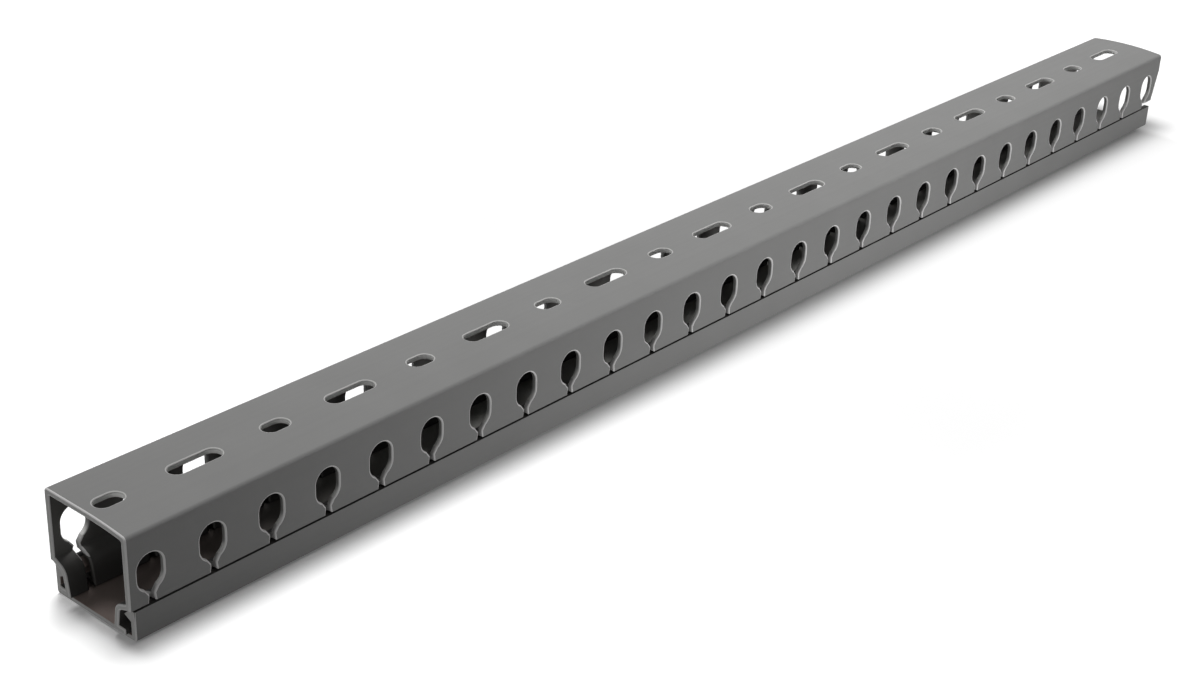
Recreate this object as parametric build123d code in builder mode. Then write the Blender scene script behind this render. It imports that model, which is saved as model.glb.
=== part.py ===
from build123d import *
import math
import os

# Slotted cable trunking, lying on its snap cover with the mounting face on top.
# X runs along the length, Y across it and Z up. All sizes are in millimetres.

# Overall size
duct_length = 502.0
duct_width = 30.0
duct_height = 29.5

# Base: a channel whose side walls are cut into fingers that end in hooked feet
wall_thickness = 1.6
corner_radius = 1.0
inner_corner_radius = 0.5
foot_thickness = 1.5
foot_rise = 0.9  # from the finger's lower edge up to the root of the foot
web_drop = 1.5  # how far the web falls before it turns down
web_lean = 0.9  # how far the web leans out on its way up
web_radius = 2.2
toe_setback = 0.9  # from the toe's tip to the inner face of the cover's lip

# Wire exits between the fingers, the same on both side walls
slot_pitch = 18.0
first_slot = 6.5  # from the near end to the first slot's centre
slot_width = 8.2
slot_height = 10.3
slot_corner = 4.0
neck_length = 3.1  # from the finger's lower edge up to the slot
neck_width = 1.8
neck_lip_bevel = 1.2

# The last finger on the right is broken: its foot and a slanting piece are missing
broken_lift = 1.9  # from the other fingers' lower edge up to the break
broken_slant = 3.2  # how far the break leans back from the far end

# Screw slots in the mounting face, short and long in turn
hole_pitch = 25.0
first_hole = 7.0  # from the near end to the first short slot's centre
hole_width = 5.5
short_hole_length = 8.5
long_hole_length = 16.0

# Snap cover
cover_height = 8.3
cover_floor = 1.3
lip_thickness = 1.6
cover_edge_radius = 1.0
near_setback = 1.2  # cover's end behind the base's near end
far_setback = 3.8  # cover's end short of the base's far end
lip_top_width = 2.0
barb_reach = 4.0  # from the cover's outer face to the barb's tip
barb_drop = 2.1  # from the lip's top to the barb's tip
barb_root = 3.2  # from the lip's top to where the barb leaves the lip

# Clearances between the base and the cover
seam_gap = 0.5  # between the fingers and the cover's lips
slide_gap = 0.2  # under the toes
barb_gap = 1.1  # from the barb's tip to the web

# Heights and places that follow from the sizes
near_end = -duct_length / 2
far_end = duct_length / 2
half_width = duct_width / 2
finger_bottom = cover_height + seam_gap
wall_middle = half_width - wall_thickness / 2
plate_underside = duct_height - wall_thickness
wall_height = duct_height - finger_bottom
room_width = duct_width - 2 * wall_thickness
lip_inside = half_width - lip_thickness
foot_root = finger_bottom + foot_rise
toe_middle = cover_floor + slide_gap + foot_thickness / 2
toe_tip = lip_inside - toe_setback
web_foot = half_width - barb_reach - barb_gap - foot_thickness / 2
slot_middle = finger_bottom + neck_length + slot_height / 2
slot_top = slot_middle + slot_height / 2
break_height = finger_bottom + broken_lift
cut_depth = 2 * wall_thickness


def row_of_places(first, pitch, item_length):
    """Centres along X, from the near end, of the items that fit whole in the duct."""
    room = duct_length - first - item_length / 2
    count = math.floor(room / pitch) + 1
    return [(near_end + first + pitch * n, 0) for n in range(count)]


wire_exits = row_of_places(first_slot, slot_pitch, slot_width)
last_exit = wire_exits[-1][0]

# One wire exit with the neck below it, seen from the side
with BuildSketch(Plane.XZ) as slot_outline:
    with Locations((0, slot_middle)):
        RectangleRounded(slot_width, slot_height, slot_corner)
    Rectangle(neck_width, slot_middle, align=(Align.CENTER, Align.MIN))
    neck_lips = slot_outline.vertices().group_by(Axis.Y)[1]
    chamfer(neck_lips, neck_lip_bevel)

with BuildPart() as duct_base:
    with BuildSketch(Plane.YZ.offset(near_end)):
        with Locations((0, duct_height)):
            Rectangle(duct_width, wall_height, align=(Align.CENTER, Align.MAX))
        with Locations((0, plate_underside)):
            Rectangle(room_width, wall_height, align=(Align.CENTER, Align.MAX), mode=Mode.SUBTRACT)
        with BuildLine():
            FilletPolyline(
                (wall_middle, foot_root),
                (web_foot + web_lean, foot_root - web_drop),
                (web_foot, toe_middle),
                (toe_tip, toe_middle),
                radius=(web_radius, 0.0),
            )
        trace(line_width=foot_thickness)
        mirror(about=Plane.YZ)
    extrude(amount=duct_length)
    inner_corners = duct_base.edges().filter_by(Axis.X).group_by(Axis.Z)[-2]
    fillet(inner_corners, inner_corner_radius)
    outer_corners = duct_base.edges().filter_by(Axis.X).group_by(Axis.Z)[-1]
    fillet(outer_corners, corner_radius)

    with BuildSketch(Plane.XZ):
        with Locations(*wire_exits):
            add(slot_outline.sketch)
    extrude(amount=duct_width, both=True, mode=Mode.SUBTRACT)

    with BuildSketch(Plane.XZ):
        with BuildLine():
            Polyline(
                (last_exit, 0),
                (last_exit, break_height),
                (far_end - broken_slant, break_height),
                (far_end, slot_top),
                (far_end, 0),
                close=True,
            )
        make_face()
    extrude(amount=half_width, mode=Mode.SUBTRACT)

    with BuildSketch(Plane.XY.offset(duct_height)):
        with Locations(*row_of_places(first_hole, 2 * hole_pitch, short_hole_length)):
            SlotOverall(short_hole_length, hole_width)
        with Locations(*row_of_places(first_hole + hole_pitch, 2 * hole_pitch, long_hole_length)):
            SlotOverall(long_hole_length, hole_width)
    extrude(amount=-cut_depth, mode=Mode.SUBTRACT)

with BuildPart() as snap_cover:
    with BuildSketch(Plane.YZ.offset(near_end + near_setback)):
        with BuildLine():
            Polyline(
                (0, 0),
                (half_width, 0),
                (half_width, cover_height),
                (half_width - lip_top_width, cover_height),
                (half_width - barb_reach, cover_height - barb_drop),
                (lip_inside, cover_height - barb_root),
                (lip_inside, cover_floor),
                (0, cover_floor),
                close=True,
            )
        make_face()
        mirror(about=Plane.YZ)
    extrude(amount=duct_length - near_setback - far_setback)
    long_edges = snap_cover.edges().filter_by(Axis.X)
    fillet(long_edges.group_by(Axis.Z)[0], cover_edge_radius)

os.makedirs("parts", exist_ok=True)
duct_base.part.label = "duct_base"
snap_cover.part.label = "snap_cover"
export_step(duct_base.part, "parts/duct_base.step")
export_step(snap_cover.part, "parts/snap_cover.step")
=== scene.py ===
import math

import bmesh
import bpy
import numpy as np
from mathutils import Matrix, Vector


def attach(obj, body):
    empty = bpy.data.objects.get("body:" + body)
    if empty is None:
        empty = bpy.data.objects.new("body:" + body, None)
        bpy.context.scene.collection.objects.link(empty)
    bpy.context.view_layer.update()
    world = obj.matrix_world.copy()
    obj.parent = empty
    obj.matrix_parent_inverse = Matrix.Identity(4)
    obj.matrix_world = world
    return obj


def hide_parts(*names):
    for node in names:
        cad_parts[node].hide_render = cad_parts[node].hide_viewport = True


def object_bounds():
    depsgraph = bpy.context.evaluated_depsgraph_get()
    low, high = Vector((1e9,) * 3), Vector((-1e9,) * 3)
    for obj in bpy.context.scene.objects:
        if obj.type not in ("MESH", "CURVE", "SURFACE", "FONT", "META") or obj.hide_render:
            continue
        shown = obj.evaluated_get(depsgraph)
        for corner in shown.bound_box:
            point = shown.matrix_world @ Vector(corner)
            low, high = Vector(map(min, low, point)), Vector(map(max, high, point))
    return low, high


# Slotted cable trunking lying on its snap cover, mounting face up.
# Metres; X runs along the duct, Y across it, Z up.

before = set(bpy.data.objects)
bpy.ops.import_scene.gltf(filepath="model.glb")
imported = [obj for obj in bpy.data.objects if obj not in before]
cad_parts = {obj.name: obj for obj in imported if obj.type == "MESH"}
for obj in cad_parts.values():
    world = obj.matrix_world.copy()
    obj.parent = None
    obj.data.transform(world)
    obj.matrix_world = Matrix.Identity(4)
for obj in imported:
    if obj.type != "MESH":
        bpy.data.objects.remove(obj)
cadBox = [list(corner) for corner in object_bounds()]
# the box's far top corner on the left
halfLength, halfWidth, ductHeight = (round(value, 6) for value in cadBox[1])
print("frame loaded")

plainMath = "ShaderNodeMath"
vectorMath = "ShaderNodeVectorMath"
pureWhite = (1.0, 1.0, 1.0, 1.0)


def newMaterial(name):
    material = bpy.data.materials.new(name)
    material.use_nodes = True
    material.node_tree.nodes.clear()
    return material, material.node_tree.nodes, material.node_tree.links


def addNode(nodes, kind, place, **settings):
    node = nodes.new(kind)
    node.location = place
    for key, value in settings.items():
        setattr(node, key, value)
    return node


def give(links, socket, value):
    # an input takes another node's output or a plain value
    if isinstance(value, bpy.types.NodeSocket):
        links.new(value, socket)
    else:
        socket.default_value = value


def calculated(nodes, links, kind, operation, place, *values):
    # one Math or Vector Math node
    node = addNode(nodes, kind, place, operation=operation)
    for socket, value in zip(node.inputs, values):
        give(links, socket, value)
    return node.outputs["Value" if kind == plainMath or operation == "LENGTH" else "Vector"]


def spanned(nodes, links, value, place, between, becomes, steepness="SMOOTHSTEP"):
    # while the value goes through the range between, the result goes from the first to the second of becomes
    span = addNode(nodes, "ShaderNodeMapRange", place, interpolation_type=steepness)
    span.inputs["From Min"].default_value, span.inputs["From Max"].default_value = between
    span.inputs["To Min"].default_value, span.inputs["To Max"].default_value = becomes
    links.new(value, span.inputs["Value"])
    return span.outputs["Result"]


def noise(nodes, links, where, place, scale, detail):
    texture = addNode(nodes, "ShaderNodeTexNoise", place)
    texture.inputs["Scale"].default_value = scale
    texture.inputs["Detail"].default_value = detail
    links.new(where, texture.inputs["Vector"])
    return texture.outputs["Fac"]


plastic = {
    "moulded": (0.172, 0.172, 0.1695),
    "rim": (0.54, 0.535, 0.53),  # edges that the punch has turned pale
    # painted light: sawn ends and the top of the slots' walls are paler than the moulded plastic
    "sawn": (0.385, 0.385, 0.377),
    # painted light: the lower part of the slots' walls in the plate is nearly white
    "slotWallPaintedLight": (0.8, 0.8, 0.785),
    "seam": (0.035, 0.033, 0.032),
    "ior": 1.5,
    "specular": 0.18,
    "roughness": (0.52, 0.7),
    "blotches": (0.94, 1.06),  # the colour is multiplied by something between these
    "lineScale": (1.5, 900.0, 900.0),  # extrusion lines per metre, along and across the duct
    "lineShift": (1.0, 0.7, 1.3),  # times a material's seed, so that no two have the same lines
    "lineShare": 0.5,  # the lines' part in the relief, beside the grain
    "mottleScale": 60.0,
    "grainScale": 2600.0,
    "reliefDepth": 0.0001,
}

# colours that follow a place or a facing along one axis, each with its stops
shades = {
    "baseInsidePaintedShade": {  # painted shade: darker than the outside, and darker still towards the feet
        "follows": "Object",
        "axis": "Z",
        "stops": [(0.004, (0.05, 0.049, 0.047)), (0.014, (0.125, 0.122, 0.117))],
    },
    "coverInsidePaintedShading": {  # painted light and shade: pale and warm at the open end, dark further in, paler than the outside from a quarter of the way in
        "follows": "Object",
        "axis": "X",
        "stops": [
            (-0.252, (0.265, 0.215, 0.197)),
            (-0.222, (0.11, 0.09, 0.082)),
            (-0.185, (0.10, 0.094, 0.088)),
            (-0.125, (0.28, 0.278, 0.265)),
        ],
    },
    "cutPlasticPaintedLight": {  # painted light: paler where it faces up, darker where it faces down
        "follows": "Normal",
        "axis": "Z",
        "stops": [(-0.5, (0.13, 0.13, 0.127)), (0.0, (0.19, 0.19, 0.186)), (0.8, (0.76, 0.76, 0.74))],
    },
}


def shadeAlong(nodes, links, coordinates, follows, axis, stops):
    first, last = stops[0][0], stops[-1][0]
    apart = addNode(nodes, "ShaderNodeSeparateXYZ", (-1100, 500))
    links.new(coordinates.outputs[follows], apart.inputs["Vector"])
    share = spanned(nodes, links, apart.outputs[axis], (-900, 500), (first, last), (0.0, 1.0), "LINEAR")
    shade = addNode(nodes, "ShaderNodeValToRGB", (-700, 500))
    shade.color_ramp.interpolation = "EASE"
    for place, colour in stops[1:-1]:
        shade.color_ramp.elements.new((place - first) / (last - first)).color = (*colour, 1)
    shade.color_ramp.elements[0].color = (*stops[0][1], 1)
    shade.color_ramp.elements[-1].color = (*stops[-1][1], 1)
    links.new(share, shade.inputs["Fac"])
    return shade.outputs["Color"]


def ductPlastic(name, colour, seed, graininess):
    # the colour is one colour or one of the shades
    material, nodes, links = newMaterial(name)
    out = addNode(nodes, "ShaderNodeOutputMaterial", (900, 0))
    shader = addNode(nodes, "ShaderNodeBsdfPrincipled", (600, 0))
    shader.inputs["IOR"].default_value = plastic["ior"]
    shader.inputs["Specular IOR Level"].default_value = plastic["specular"]
    links.new(shader.outputs["BSDF"], out.inputs["Surface"])

    coordinates = addNode(nodes, "ShaderNodeTexCoord", (-1300, 0))
    where = coordinates.outputs["Object"]
    # lines drawn out along X by the extrusion die: noise squeezed across, stretched along
    dieLines = addNode(nodes, "ShaderNodeMapping", (-1100, 200))
    dieLines.inputs["Scale"].default_value = plastic["lineScale"]
    dieLines.inputs["Location"].default_value = [seed * step for step in plastic["lineShift"]]
    links.new(where, dieLines.inputs["Vector"])
    lines = noise(nodes, links, dieLines.outputs["Vector"], (-900, 200), scale=1.0, detail=3.0)
    mottle = noise(nodes, links, where, (-900, -60), scale=plastic["mottleScale"], detail=4.0)
    grain = noise(nodes, links, where, (-900, -320), scale=plastic["grainScale"], detail=2.0)

    if isinstance(colour, dict):
        colour = shadeAlong(nodes, links, coordinates, **colour)
    body = addNode(nodes, vectorMath, (-300, 60), operation="SCALE")
    blotches = spanned(nodes, links, mottle, (-600, -60), (0.0, 1.0), plastic["blotches"], "LINEAR")
    give(links, body.inputs[0], colour)
    give(links, body.inputs["Scale"], blotches)
    links.new(body.outputs["Vector"], shader.inputs["Base Color"])
    rough = spanned(nodes, links, lines, (-600, 240), (0.0, 1.0), plastic["roughness"], "LINEAR")
    links.new(rough, shader.inputs["Roughness"])

    relief = calculated(
        nodes, links, plainMath, "MULTIPLY_ADD", (-600, -240), lines, plastic["lineShare"], grain
    )
    bump = addNode(nodes, "ShaderNodeBump", (200, -240))
    bump.inputs["Strength"].default_value = graininess
    bump.inputs["Distance"].default_value = plastic["reliefDepth"]
    links.new(relief, bump.inputs["Height"])
    links.new(bump.outputs["Normal"], shader.inputs["Normal"])
    return material


basePlastic = ductPlastic("basePlastic", plastic["moulded"], seed=0.0, graininess=0.12)
coverPlastic = ductPlastic("coverPlastic", plastic["moulded"], seed=4.0, graininess=0.12)
baseInsidePaintedShade = ductPlastic("baseInsidePaintedShade", shades["baseInsidePaintedShade"], seed=6.0, graininess=0.12)
coverInsidePaintedShading = ductPlastic("coverInsidePaintedShading", shades["coverInsidePaintedShading"], seed=7.0, graininess=0.12)
cutPlasticPaintedLight = ductPlastic("cutPlasticPaintedLight", shades["cutPlasticPaintedLight"], seed=9.0, graininess=0.5)
paleRim = ductPlastic("paleRim", plastic["rim"], seed=12.0, graininess=0.3)
seamShade = ductPlastic("seamShade", plastic["seam"], seed=15.0, graininess=0.1)
sawnEndPaintedLight = ductPlastic("sawnEndPaintedLight", plastic["sawn"], seed=18.0, graininess=0.5)
slotWallPaintedLight = ductPlastic("slotWallPaintedLight", plastic["slotWallPaintedLight"], seed=21.0, graininess=0.3)
print("materials made")

# each look's place in a piece's list of materials
looks = {"outer": 0, "inner": 1, "cut": 2, "seam": 3, "rim": 4, "sawn": 5, "slotWallPaintedLight": 6}

# how much of a face's normal lies along an axis
pointing = {"half": 0.5, "aslant": 0.8, "mostly": 0.9, "square": 0.99, "exactly": 0.999}

# how finely shapes are made
making = {
    "slack": 0.00001,  # places closer than this count as the same
    "weld": 0.000002,
    "flat": 0.3,  # degrees; facets that bend less than this are joined
    "cutSlack": 0.0000001,
    "sharp": 50.0,  # degrees; edges that bend more than this are rounded
    "rimSteps": 3,
    "roundingSteps": 2,
}


def weldedCopy(node):
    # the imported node's faces, with doubles merged and flat triangles joined into whole facets
    shape = bmesh.new()
    shape.from_mesh(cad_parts[node].data)
    bmesh.ops.remove_doubles(shape, verts=shape.verts, dist=making["weld"])
    bmesh.ops.dissolve_limit(
        shape, angle_limit=math.radians(making["flat"]), verts=shape.verts, edges=shape.edges
    )
    return shape


def cutByPlane(shape, faces, point, normal):
    edges = list({edge for face in faces for edge in face.edges})
    verts = list({vert for face in faces for vert in face.verts})
    bmesh.ops.bisect_plane(
        shape, geom=faces + edges + verts, dist=making["cutSlack"], plane_co=point, plane_no=normal
    )


def valuesOf(items, name, width):
    flat = np.empty(len(items) * width)
    items.foreach_get(name, flat)
    return flat.reshape(-1, width)


def lookedOver(shape, faceLooks):
    # gives every face of the shape its look, worked out on a passing mesh
    passing = bpy.data.meshes.new("passing")
    shape.to_mesh(passing)
    for face, look in zip(shape.faces, faceLooks(passing).tolist()):
        face.material_index = look
    bpy.data.meshes.remove(passing)


def bevelled(shape, edges, width, segments, look):
    bmesh.ops.bevel(
        shape,
        geom=edges,
        offset=width,
        offset_type="OFFSET",
        segments=segments,
        profile=0.5,
        affect="EDGES",
        clamp_overlap=False,
        material=look,
        loop_slide=False,
    )


def rimmed(shape, own, faceLooks, rimBetween):
    # an edge is a rim where a cut face meets one with a look in rimBetween
    lookedOver(shape, faceLooks)
    meeting = [looks[name] for name in rimBetween]
    rims, others = [], []
    for edge in shape.edges:
        sides = [face.material_index for face in edge.link_faces]
        if len(sides) == 2 and looks["cut"] in sides and (sides[0] in meeting or sides[1] in meeting):
            rims.append(edge)
    bevelled(shape, rims, own["rim"], making["rimSteps"], looks["rim"])
    # the other sharp edges are rounded a little, and their faces keep their looks
    for edge in shape.edges:
        sides = [face.material_index for face in edge.link_faces]
        sharp = len(sides) == 2 and edge.calc_face_angle() > math.radians(making["sharp"])
        if sharp and looks["rim"] not in sides:
            others.append(edge)
    bevelled(shape, others, own["rounding"], making["roundingSteps"], -1)


def finishedPiece(shape, name, materials):
    mesh = bpy.data.meshes.new(name)
    shape.to_mesh(mesh)
    shape.free()
    for material in materials:
        mesh.materials.append(material)
    # faces square to X stay flat, everything else is shaded smoothly
    alongX = np.abs(valuesOf(mesh.polygons, "normal", 3)[:, 0])
    mesh.polygons.foreach_set("use_smooth", alongX < pointing["exactly"])
    piece = bpy.data.objects.new(name, mesh)
    bpy.context.scene.collection.objects.link(piece)
    even = piece.modifiers.new("evenShading", "WEIGHTED_NORMAL")
    even.keep_sharp = True
    return piece


base = {
    "wall": 0.0016,
    "plateFrom": 0.0272,  # everything above this height belongs to the mounting plate
    "corner": 0.0012,  # the plate's rounded corners reach less far than this, across and down
    "fingerEnd": 0.0088,
    "fingerEndSlack": 0.0001,  # the fingers' ends count as level within this height
    "ovalFrom": 0.0119,  # the wire exits' necks end here
    "sag": 0.0009,  # how far the plate's long edges hang below its middle
    "lift": 0.0009,  # how far the base has sprung up at its near left corner
    "cuts": 7,  # stretches that each half of the plate is cut into, so that it can curve
    "rim": 0.0004,
    "rounding": 0.00015,
    "narrower": 0.0003,  # the rims reach out to the CAD outline of the holes, the holes are smaller
    "rimsFrom": (0.0142, 0.0289),  # pale rims only lie further out and further up than this
    "endsFrom": 0.2504,  # beyond this place along X a cut face belongs to a sawn end
    "holesTo": 0.2457,  # the break beyond this place along X is no hole
}


def baseLooks(mesh):
    middles = valuesOf(mesh.polygons, "center", 3)
    facing = np.abs(valuesOf(mesh.polygons, "normal", 3))
    across, up = np.abs(middles[:, 1]), middles[:, 2]
    outside = (across > halfWidth - making["slack"]) | (up > ductHeight - making["slack"])
    inWall = (across > halfWidth - base["wall"] + making["slack"]) & (across < halfWidth - making["slack"])
    inPlate = (up > ductHeight - base["wall"] + making["slack"]) & (up < ductHeight - making["slack"])
    bent = (up > ductHeight - base["corner"]) & (across > halfWidth - base["corner"])
    bent &= facing[:, 0] < pointing["half"]
    fingerEnds = np.abs(up - base["fingerEnd"]) < base["fingerEndSlack"]
    fingerEnds &= facing[:, 2] > pointing["mostly"]
    look = np.full(len(middles), looks["inner"])
    look[outside | bent] = looks["outer"]
    look[inWall & (facing[:, 1] < pointing["aslant"]) & ~bent] = looks["cut"]
    look[inPlate & (facing[:, 2] < pointing["aslant"]) & ~bent] = looks["cut"]
    look[facing[:, 0] > pointing["square"]] = looks["cut"]
    look[fingerEnds] = looks["seam"]
    return look


def narrowedHoles(shape):
    # every corner of a hole's wall moves into the hole, square to the walls that meet there
    mesh = bpy.data.meshes.new("passing")
    shape.to_mesh(mesh)
    shape.free()
    middles = valuesOf(mesh.polygons, "center", 3)
    normals = valuesOf(mesh.polygons, "normal", 3)
    neckWalls = (np.abs(normals[:, 0]) >= pointing["square"]) & (middles[:, 2] <= base["ovalFrom"])
    between = (middles[:, 0] > making["slack"] - halfLength) & (middles[:, 0] < base["holesTo"])
    walls = (baseLooks(mesh) == looks["cut"]) & ~neckWalls & between
    totals = valuesOf(mesh.polygons, "loop_total", 1).ravel().astype(int)
    faceOfLoop = np.repeat(np.arange(len(totals)), totals)
    corners = valuesOf(mesh.loops, "vertex_index", 1).ravel().astype(int)
    ofWall = walls[faceOfLoop]
    count = np.bincount(corners[ofWall], minlength=len(mesh.vertices))
    total = np.zeros((len(mesh.vertices), 3))
    np.add.at(total, corners[ofWall], normals[faceOfLoop[ofWall]])
    # shift = distance times number of walls times sum of normals over the sum's own square
    square = np.maximum(np.square(total).sum(axis=1), 1e-9)  # kept above zero, it divides
    points = valuesOf(mesh.vertices, "co", 3)
    points += base["narrower"] * (count / square)[:, None] * total
    mesh.vertices.foreach_set("co", points.ravel())
    narrowed = bmesh.new()
    narrowed.from_mesh(mesh)
    bpy.data.meshes.remove(mesh)
    return narrowed


def cutsToldApart(shape):
    # a level cut parts the fingers from their feet; the necks between the fingers are as pale as rims, the
    # feet's cut faces take the inside's painted shade, and a hole's rim on the inside no paler than the
    # hole's wall
    cutByPlane(shape, list(shape.faces), (0, 0, base["fingerEnd"]), (0, 0, 1))
    rimsOut, rimsUp = base["rimsFrom"]
    for face in shape.faces:
        middle = face.calc_center_median()
        if face.material_index not in (looks["cut"], looks["rim"]):
            continue
        if abs(middle.x) > base["endsFrom"]:
            face.material_index = looks["sawn"] if face.material_index == looks["cut"] else looks["rim"]
        elif middle.z < base["ovalFrom"]:
            face.material_index = looks["rim"] if middle.z > base["fingerEnd"] else looks["inner"]
        elif middle.z > base["plateFrom"]:
            # painted light: the lower part of a slot's wall in the plate is nearly white, its top is the
            # paler sawn look
            face.material_index = looks["slotWallPaintedLight"] if middle.z < rimsUp else looks["sawn"]
        elif abs(middle.y) < rimsOut:
            face.material_index = looks["cut"]


def drawLinesAlong(shape):
    # cuts the plate with upright planes along X, at even steps of Y
    for y in np.linspace(-halfWidth, halfWidth, 2 * base["cuts"] + 1)[1:-1]:
        plate = [face for face in shape.faces if face.calc_center_median().z > base["plateFrom"]]
        cutByPlane(shape, plate, (0, y, 0), (0, 1, 0))


def crownedPlate(mesh):
    # height falls with the square of the distance from the duct's middle line
    points = valuesOf(mesh.vertices, "co", 3)
    upper = points[:, 2] > base["plateFrom"]
    fall = base["sag"] * np.square(points[:, 1] / halfWidth)
    points[:, 2] -= np.where(upper, fall, 0.0)
    # lift grows with the squares of the way to the near end and of the way to the left wall
    nearward = np.clip(-points[:, 0] / halfLength, 0.0, 1.0)
    leftward = np.clip(points[:, 1] / halfWidth, 0.0, 1.0)
    points[:, 2] += base["lift"] * np.square(nearward) * np.square(leftward)
    mesh.vertices.foreach_set("co", points.ravel())
    mesh.update()


baseShape = narrowedHoles(weldedCopy("duct_base"))
rimmed(baseShape, base, baseLooks, ["outer", "inner", "seam"])
cutsToldApart(baseShape)
drawLinesAlong(baseShape)
baseMaterials = [basePlastic, baseInsidePaintedShade, cutPlasticPaintedLight, seamShade, paleRim, sawnEndPaintedLight, slotWallPaintedLight]
ductBase = finishedPiece(baseShape, "ductBase", baseMaterials)
crownedPlate(ductBase.data)
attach(ductBase, "base")
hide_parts("duct_base")

cover = {
    "lipInside": 0.0134,
    "lipTop": 0.0083,
    "floor": 0.0013,
    "rim": 0.0003,
    "rounding": 0.00015,
}


def coverLooks(mesh):
    middles = valuesOf(mesh.polygons, "center", 3)
    facing = np.abs(valuesOf(mesh.polygons, "normal", 3))
    across, up = np.abs(middles[:, 1]), middles[:, 2]
    inside = (across < cover["lipInside"] + making["slack"]) & (up > cover["floor"] - making["slack"])
    lipTops = (up > cover["lipTop"] - making["slack"]) & (facing[:, 2] > pointing["mostly"])
    look = np.full(len(middles), looks["outer"])
    look[inside] = looks["inner"]
    look[facing[:, 0] > pointing["square"]] = looks["cut"]
    look[lipTops] = looks["seam"]
    return look


def sawnOff(shape):
    # the cover has no cuts but its sawn ends
    for face in shape.faces:
        if face.material_index == looks["cut"]:
            face.material_index = looks["sawn"]


coverShape = weldedCopy("snap_cover")
rimmed(coverShape, cover, coverLooks, ["outer"])
sawnOff(coverShape)
coverMaterials = [coverPlastic, coverInsidePaintedShading, cutPlasticPaintedLight, seamShade, paleRim, sawnEndPaintedLight]
snapCover = finishedPiece(coverShape, "snapCover", coverMaterials)
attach(snapCover, "cover")
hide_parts("snap_cover")
print("pieces:", len(ductBase.data.polygons), "and", len(snapCover.data.polygons), "faces")

# a range says between which places a value changes, and from what into what
floorLook = {
    "halfSide": 6.0,
    "height": -0.0002,
    "footprint": ((-0.2505, -0.015), (0.238, 0.006)),
    "hurryBefore": (2.1, 1.0),  # the glow grows faster past the near end
    "hurryPast": (3.6, 4.0),  # and at the far end and behind the duct
    "white": {"between": (-0.25, 0.0), "becomes": (0.95, 0.6)},  # painted shade: the floor's white falls from the near end to the middle
    "shadowWidth": {"between": (-0.25, 0.25), "becomes": (0.009, 0.026)},
    "nearGlow": {"between": (0.0, 1.0), "becomes": (0.03, 0.25)},  # across the shadow
    "reach": (0.55, 0.25),  # the far glow is counted in these lengths from the duct's middle
    "farGlow": {"between": (0.4, 1.15), "becomes": (0.0, 1.0)},
    "endGlow": {"between": (-0.274, -0.2505), "becomes": (0.13, 0.0)},
    "cornerAcross": {"between": (0.004, 0.016), "becomes": (0.0, 0.24)},
    "cornerAlong": {"between": (-0.256, -0.2505), "becomes": (1.0, 0.0)},
    "bounce": (0.14, 0.14, 0.14, 1.0),  # how much of the lamps' light goes back to the duct
    "riseNear": {"between": (-0.33, -0.02), "becomes": (0.0, 0.85)},
    "riseFar": {"between": (0.0, 0.3), "becomes": (1.0, 0.72)},
}


def fromDuct(nodes, links, where):
    # distance from the duct's footprint, counted several times over past the ends and behind the duct
    low, high = floorLook["footprint"]
    nothing = (0.0, 0.0, 0.0)
    past = calculated(nodes, links, vectorMath, "SUBTRACT", (-1500, -900), where, (*high, 1.0))
    past = calculated(nodes, links, vectorMath, "MAXIMUM", (-1350, -900), past, nothing)
    hurry = (*floorLook["hurryPast"], 0.0)
    past = calculated(nodes, links, vectorMath, "MULTIPLY", (-1200, -900), past, hurry)
    before = calculated(nodes, links, vectorMath, "MULTIPLY", (-1500, -1100), where, (-1.0, -1.0, -1.0))
    before = calculated(nodes, links, vectorMath, "ADD", (-1350, -1100), before, (*low, -1.0))
    before = calculated(nodes, links, vectorMath, "MAXIMUM", (-1200, -1100), before, nothing)
    hurry = (*floorLook["hurryBefore"], 0.0)
    before = calculated(nodes, links, vectorMath, "MULTIPLY", (-1050, -1100), before, hurry)
    both = calculated(nodes, links, vectorMath, "ADD", (-900, -1000), past, before)
    return calculated(nodes, links, vectorMath, "LENGTH", (-750, -1000), both)


def fromMiddle(nodes, links, where):
    # distance from the duct's middle, with the floor squeezed along and across
    squeeze = addNode(nodes, "ShaderNodeMapping", (-900, -300))
    squeeze.inputs["Scale"].default_value = (1 / floorLook["reach"][0], 1 / floorLook["reach"][1], 0)
    links.new(where, squeeze.inputs["Vector"])
    return calculated(nodes, links, vectorMath, "LENGTH", (-700, -300), squeeze.outputs["Vector"])


def floorGlow(nodes, links, where, along):
    # painted light on the floor around the duct's cast shadow: it glows least beside the footprint, and more
    # past the shadow, far away, past the near end and past the near left corner
    gap = fromDuct(nodes, links, where)
    width = spanned(nodes, links, along["X"], (-450, -1100), **floorLook["shadowWidth"])
    share = calculated(nodes, links, plainMath, "DIVIDE", (-300, -1100), gap, width)
    nearGlow = spanned(nodes, links, share, (-150, -1100), **floorLook["nearGlow"])
    farGlow = spanned(nodes, links, fromMiddle(nodes, links, where), (-450, -300), **floorLook["farGlow"])
    endGlow = spanned(nodes, links, along["X"], (-450, -1250), **floorLook["endGlow"])
    leftwards = spanned(nodes, links, along["Y"], (-450, -1600), **floorLook["cornerAcross"])
    nearwards = spanned(nodes, links, along["X"], (-450, -1800), **floorLook["cornerAlong"])
    cornerGlow = calculated(nodes, links, plainMath, "MULTIPLY", (-200, -1700), leftwards, nearwards)
    endGlow = calculated(nodes, links, plainMath, "ADD", (-100, -1250), endGlow, cornerGlow)
    glow = calculated(nodes, links, plainMath, "ADD", (0, -1100), nearGlow, farGlow)
    return calculated(nodes, links, plainMath, "ADD", (150, -1100), glow, endGlow)


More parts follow.
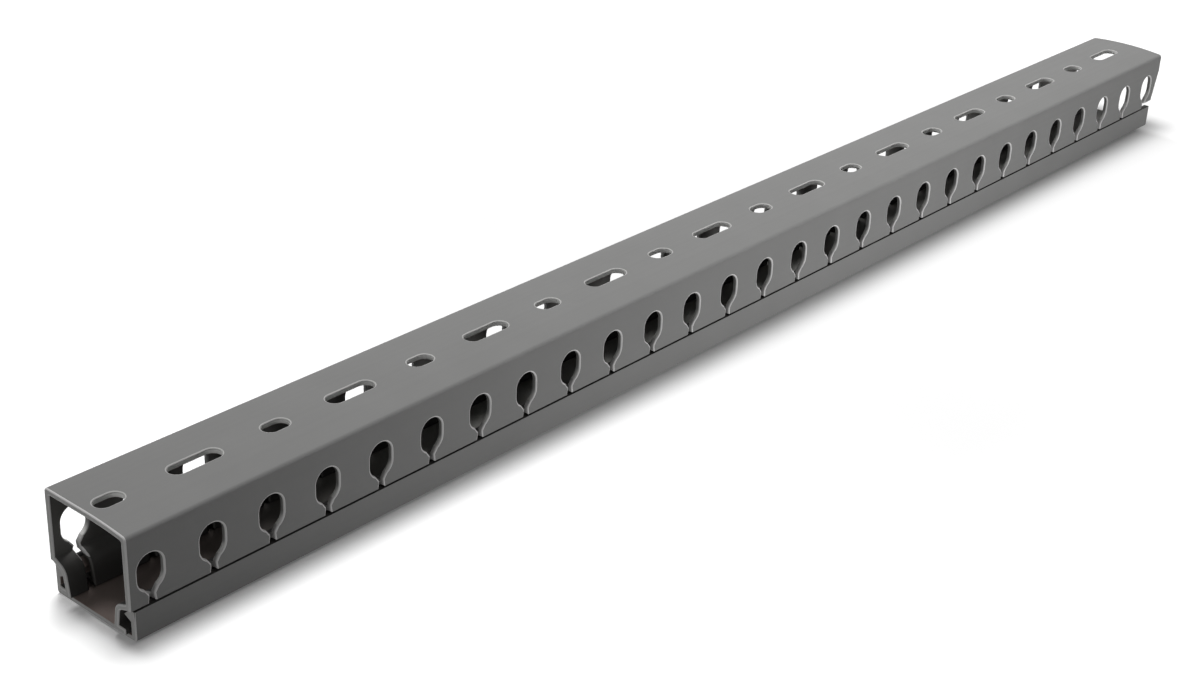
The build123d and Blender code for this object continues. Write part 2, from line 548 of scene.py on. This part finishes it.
def litFloor(nodes, links, colour, strength):
    diffuse = addNode(nodes, "ShaderNodeBsdfDiffuse", (0, 0))
    give(links, diffuse.inputs["Color"], colour)
    shine = addNode(nodes, "ShaderNodeEmission", (0, -160))
    shine.inputs["Color"].default_value = pureWhite
    links.new(strength, shine.inputs["Strength"])
    both = addNode(nodes, "ShaderNodeAddShader", (200, 0))
    links.new(diffuse.outputs["BSDF"], both.inputs[0])
    links.new(shine.outputs["Emission"], both.inputs[1])
    return both.outputs["Shader"]


def shownFloor(nodes, links, where, along):
    white = spanned(nodes, links, along["X"], (-450, -1400), **floorLook["white"])
    return litFloor(nodes, links, white, floorGlow(nodes, links, where, along))


def unseenFloor(nodes, links, along):
    # what lights the duct from below: a little of the lamps' light, and light of the floor's own
    nearRise = spanned(nodes, links, along["X"], (-450, -600), **floorLook["riseNear"])
    farRise = spanned(nodes, links, along["X"], (-450, -850), **floorLook["riseFar"])
    rise = calculated(nodes, links, plainMath, "MULTIPLY", (-200, -600), nearRise, farRise)
    return litFloor(nodes, links, floorLook["bounce"], rise)


def seenDirectly(nodes, links):
    # 1 for what the camera sees, also in a gloss or through glass
    rays = addNode(nodes, "ShaderNodeLightPath", (-700, 300)).outputs
    seen, glossy, through = rays["Is Camera Ray"], rays["Is Glossy Ray"], rays["Is Transmission Ray"]
    either = calculated(nodes, links, plainMath, "MAXIMUM", (-500, 300), seen, glossy)
    return calculated(nodes, links, plainMath, "MAXIMUM", (-300, 300), either, through)


def chosen(nodes, links, place, share, first, second):
    pick = addNode(nodes, "ShaderNodeMixShader", place)
    links.new(share, pick.inputs["Fac"])
    links.new(first, pick.inputs[1])
    links.new(second, pick.inputs[2])
    return pick.outputs["Shader"]


def whiteFloor():
    half, z = floorLook["halfSide"], floorLook["height"]
    corners = [(-half, -half, z), (half, -half, z), (half, half, z), (-half, half, z)]
    mesh = bpy.data.meshes.new("floor")
    mesh.from_pydata(corners, [], [(0, 1, 2, 3)])
    floor = bpy.data.objects.new("floor", mesh)
    bpy.context.scene.collection.objects.link(floor)
    material, nodes, links = newMaterial("floorWhite")
    out = addNode(nodes, "ShaderNodeOutputMaterial", (900, 0))
    where = addNode(nodes, "ShaderNodeTexCoord", (-1100, -300)).outputs["Object"]
    along = addNode(nodes, "ShaderNodeSeparateXYZ", (-900, -600))
    links.new(where, along.inputs["Vector"])
    shown = shownFloor(nodes, links, where, along.outputs)
    unseen = unseenFloor(nodes, links, along.outputs)
    above = chosen(nodes, links, (450, 0), seenDirectly(nodes, links), unseen, shown)
    # from below the floor is clear, so the underside can be looked at
    clear = addNode(nodes, "ShaderNodeBsdfTransparent", (450, -200))
    side = addNode(nodes, "ShaderNodeNewGeometry", (450, 400))
    both = chosen(nodes, links, (700, 0), side.outputs["Backfacing"], above, clear.outputs["BSDF"])
    links.new(both, out.inputs["Surface"])
    mesh.materials.append(material)


whiteFloor()

surroundingLight = {"seen": 1.0, "cast": 0.08}


def background(nodes, place, strength):
    light = addNode(nodes, "ShaderNodeBackground", place)
    light.inputs["Color"].default_value = pureWhite
    light.inputs["Strength"].default_value = strength
    return light.outputs["Background"]


def surroundings():
    world = bpy.data.worlds.new("studio")
    bpy.context.scene.world = world
    world.use_nodes = True
    nodes, links = world.node_tree.nodes, world.node_tree.links
    nodes.clear()
    out = addNode(nodes, "ShaderNodeOutputWorld", (500, 0))
    seen = background(nodes, (0, 100), surroundingLight["seen"])
    cast = background(nodes, (0, -100), surroundingLight["cast"])
    both = chosen(nodes, links, (260, 0), seenDirectly(nodes, links), cast, seen)
    links.new(both, out.inputs["Surface"])


surroundings()

lamps = {
    "softTop": {
        "place": (0.07, 0.25, 1.3),
        "aim": (0.2, 0.0, 0.0),
        "size": (0.6, 0.6),
        "watts": 5.75,
        "spread": 88.0,  # degrees
    },
    "sideStrip": {
        "place": (0.07, -0.4, 0.035),
        "aim": (0.07, 0.0, 0.02),
        "size": (0.14, 0.05),
        "watts": 0.31,
        "spread": 117.0,
    },
    "endFill": {
        "place": (-0.6, -0.06, 0.1),
        "aim": (-0.25, 0.0, 0.012),
        "size": (0.08, 0.08),
        "watts": 0.014,
        "spread": 40.0,
    },
}


def areaLamp(name, place, aim, size, watts, spread):
    data = bpy.data.lights.new(name, "AREA")
    data.shape = "RECTANGLE"
    data.size, data.size_y = size
    data.energy = watts
    data.spread = math.radians(spread)
    lamp = bpy.data.objects.new(name, data)
    bpy.context.scene.collection.objects.link(lamp)
    lamp.location = place
    lamp.rotation_mode = "QUATERNION"
    lamp.rotation_quaternion = (Vector(aim) - Vector(place)).to_track_quat("-Z", "Y")
    lamp.visible_camera = False


for lampName, values in lamps.items():
    areaLamp(lampName, **values)
print("floor and lamps set")

photoCamera = {
    "place": (-0.47703, -0.33627, 0.27142),
    "heading": 39.5723,  # in degrees, from X towards Y
    "dip": 26.4923,  # in degrees below level
    "roll": 2.6902,
    "lens": 60.34,  # millimetres, and the sensor too
    "sensor": 36.0,
    "clip": (0.01, 100.0),
}


def setCamera():
    data = bpy.data.cameras.new("photoCamera")
    data.sensor_width = photoCamera["sensor"]
    data.lens = photoCamera["lens"]
    data.clip_start, data.clip_end = photoCamera["clip"]
    camera = bpy.data.objects.new("photoCamera", data)
    bpy.context.scene.collection.objects.link(camera)
    turn = (
        Matrix.Rotation(math.radians(photoCamera["heading"] - 90), 4, "Z")
        @ Matrix.Rotation(math.radians(90 - photoCamera["dip"]), 4, "X")
        @ Matrix.Rotation(math.radians(photoCamera["roll"]), 4, "Z")
    )
    camera.matrix_world = Matrix.Translation(photoCamera["place"]) @ turn
    bpy.context.scene.camera = camera


setCamera()
bpy.context.scene.view_settings.view_transform = "Standard"
bpy.context.view_layer.update()
